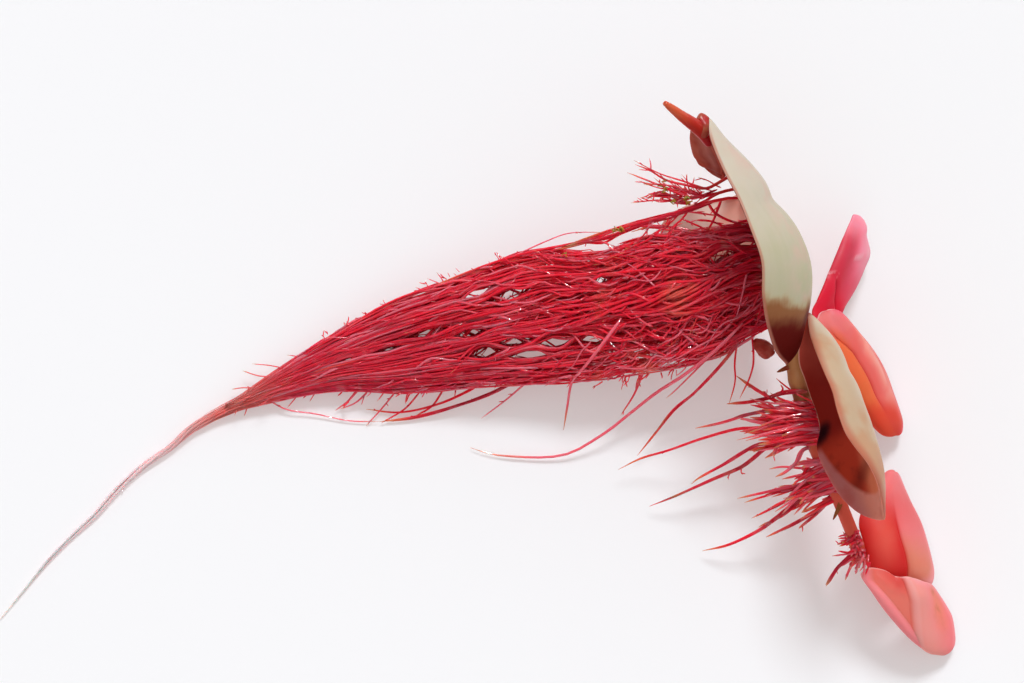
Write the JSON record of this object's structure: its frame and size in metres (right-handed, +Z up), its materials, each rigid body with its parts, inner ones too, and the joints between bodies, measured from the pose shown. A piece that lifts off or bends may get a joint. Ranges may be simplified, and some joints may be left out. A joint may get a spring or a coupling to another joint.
{
  "type": "red root floater plant",
  "caption": "Small floating water plant laid on its side, with rounded pouched leaves along one stem and a long tapering tangle of crimson roots.",
  "frame": {"origin": "on the surface that the plant lies on, under the middle of its bounding box", "axes": "+Z up from the surface, +X from the root tail towards the leaves, +Y towards the stem's growing end"},
  "size_m": [0.0625, 0.0357, 0.0171],
  "materials": {
    "stem": "satin",
    "leaf_pale": "satin",
    "leaf_cupped": "satin",
    "leaf_pink": "satin",
    "leaf_maroon": "satin",
    "leaf_young": "gloss",
    "bud": "satin",
    "root": "satin"
  },
  "bodies": {
    "root": {"stem": "stem", "leaf_large_pale": "leaf_pale", "leaf_cupped_dark": "leaf_cupped", "leaf_folded_pink": "leaf_pink", "leaf_end_pink": "leaf_pink", "leaf_under_roots": "leaf_maroon", "leaf_small_dark": "leaf_maroon", "leaf_rolled_young": "leaf_young", "bud_at_tip": "bud", "bud_withered": "bud", "root_bundle_main": "root", "roots_middle": "root", "roots_lower": "root", "roots_end": "root"}
  },
  "joints": []
}
